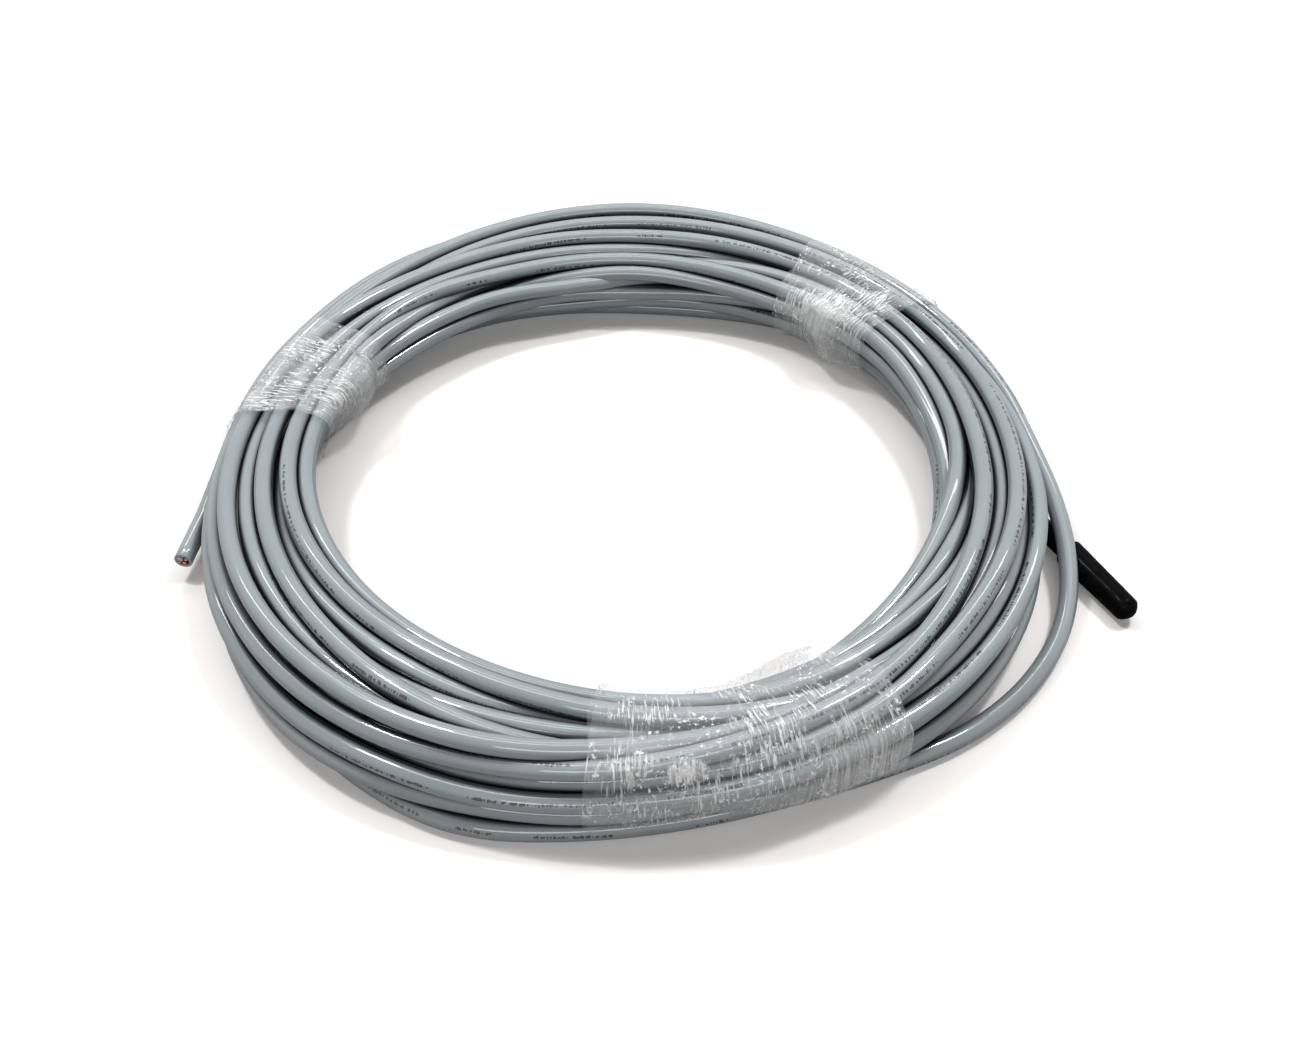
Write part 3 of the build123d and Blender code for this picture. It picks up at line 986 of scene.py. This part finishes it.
def make_cap(material):
    """The black end cap: slightly tapered, with a bevelled mouth, a hollow and a wrinkled tip."""
    mouth, outward = cap_axis()
    side = outward.cross(Vector((0, 0, 1))).normalized()
    up = side.cross(outward)
    rings = []
    for along, radius in cap_profile():
        centre = mouth + outward * along
        into_tip = max(0.0, along / CAP_LENGTH - CAP_TIP_FROM) / (1 - CAP_TIP_FROM)
        wrinkle = CAP_WRINKLE + CAP_TIP_WRINKLE * into_tip
        points = []
        for spoke in ring_at(centre, side, up, 1.0, CAP_SIDES):
            direction = spoke - centre
            rough = noise.noise(direction * 2.2 + outward * along * 420)
            points.append(centre + direction * (radius + wrinkle * rough))
        rings.append(points)
    cap = lofted_piece("cap", material, [rings], close_start=True, close_end=True)
    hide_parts("end_cap")
    return cap


def make_sleeve(material, line):
    """The shrunk sleeve on the cable, from inside the cap to a little way out of its mouth."""
    frames = frames_along(line)
    whole_length = frames[-1][0]
    in_cap = CAP_LENGTH - CAP_END_WALL
    inside = []
    outside = []
    for point, (travelled, side, up) in zip(line, frames):
        if in_cap - SLEEVE_IN_CAP < whole_length - travelled < in_cap + SLEEVE_OUT:
            inside.append(ring_at(point, side, up, CABLE_R + SLEEVE_ROOM, SLEEVE_SIDES))
            ring = []
            for spoke in ring_at(point, side, up, CABLE_R + SLEEVE_WALL, SLEEVE_SIDES):
                rough = SLEEVE_WRINKLE * noise.noise(spoke * 700)
                ring.append(spoke + (spoke - point).normalized() * rough)
            outside.append(ring)
    sleeve = lofted_piece("sleeve", material, [outside + inside[::-1]], looped=True)
    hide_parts("end_sleeve")
    return sleeve


def black_material(name, roughness, bumpiness):
    """Matt black plastic with a faint sheen and a fine grain."""
    material, tree, shader = new_material(name)
    place = object_place(tree)
    grain = noise_at(tree, place, 300, 3, 0.6)
    relief = noise_at(tree, place, 900, 4, 0.6)
    set_inputs(tree, shader, {
        "Base Color": ramp(tree, grain, (0.3, BLACK_DARK), (0.7, BLACK_LIGHT)),
        "Roughness": map_range(tree, noise_at(tree, place, 500, 3, 0.6), roughness - 0.08, roughness + 0.1),
        "Specular IOR Level": 0.01,
        "Coat Weight": 0.02,
        "Coat Roughness": 0.12,
        "Normal": bump_normal(tree, relief, bumpiness, 0.0003),
    })
    return material


# Cut end
def speckled_material(name, dark, light, roughness, metallic, scale):
    """A finish with fine unevenness in colour, gloss and height."""
    material, tree, shader = new_material(name)
    place = object_place(tree)
    grain = noise_at(tree, place, scale, 4, 0.65)
    relief = noise_at(tree, place, 2 * scale, 4, 0.6)
    set_inputs(tree, shader, {
        "Base Color": ramp(tree, grain, (0.3, dark), (0.7, light)),
        "Roughness": map_range(tree, grain, roughness - 0.06, roughness + 0.1),
        "Metallic": metallic,
        "Normal": bump_normal(tree, relief, 0.3, 0.0002),
    })
    return material


def make_strands(name, material, start, along, node):
    """Copper strands, six twisted round one, from the cut face back along the cable."""
    side = along.cross(Vector((0, 0, 1))).normalized()
    up = side.cross(along)
    tubes = []
    for strand in range(STRANDS):
        from_axis = STRAND_SPACING if strand else 0.0
        rings = []
        for step in range(STRAND_STEPS + 1):
            turned = STRAND_TWIST * step + strand * math.pi / 3
            centre = start + along * (BARE_END * step / STRAND_STEPS)
            centre += side * (from_axis * math.cos(turned)) + up * (from_axis * math.sin(turned))
            rings.append(ring_at(centre, side, up, STRAND_R, STRAND_SIDES))
        tubes.append(rings)
    strands = lofted_piece(name, material, tubes, close_start=True, close_end=True)
    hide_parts(node)


def finish_cut_end():
    """Gives the cut end's layers their finishes, and puts copper strands in place of each conductor."""
    for node, finish in CUT_END_FINISHES.items():
        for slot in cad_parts[node].material_slots:
            slot.material = speckled_material(node, *finish)
    copper = speckled_material("copper", *COPPER_FINISH)
    inward = (beside_coil(*CUT_CORNER) - beside_coil(*CUT_FACE)).normalized()
    for colour in ("red", "black", "white"):
        low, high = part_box("conductor_" + colour)
        start = (low + high) / 2 - inward * BARE_END / 2
        make_strands("strands_" + colour, copper, start, inward, "conductor_" + colour)


# The scene
make_camera()
make_floor()
make_light()
running, place = settle_turns()
cable_line = smooth_line(route_points(running, place))
cable = make_cable(jacket_material(), cable_line)
film = film_material()
for order, band in enumerate(FILM_BANDS):
    make_film(band, film, running, place, 11.0 * order + 3)
cap = make_cap(black_material("cap_black", 0.42, 0.25))
sleeve = make_sleeve(black_material("sleeve_black", 0.3, 0.4), cable_line)
finish_cut_end()
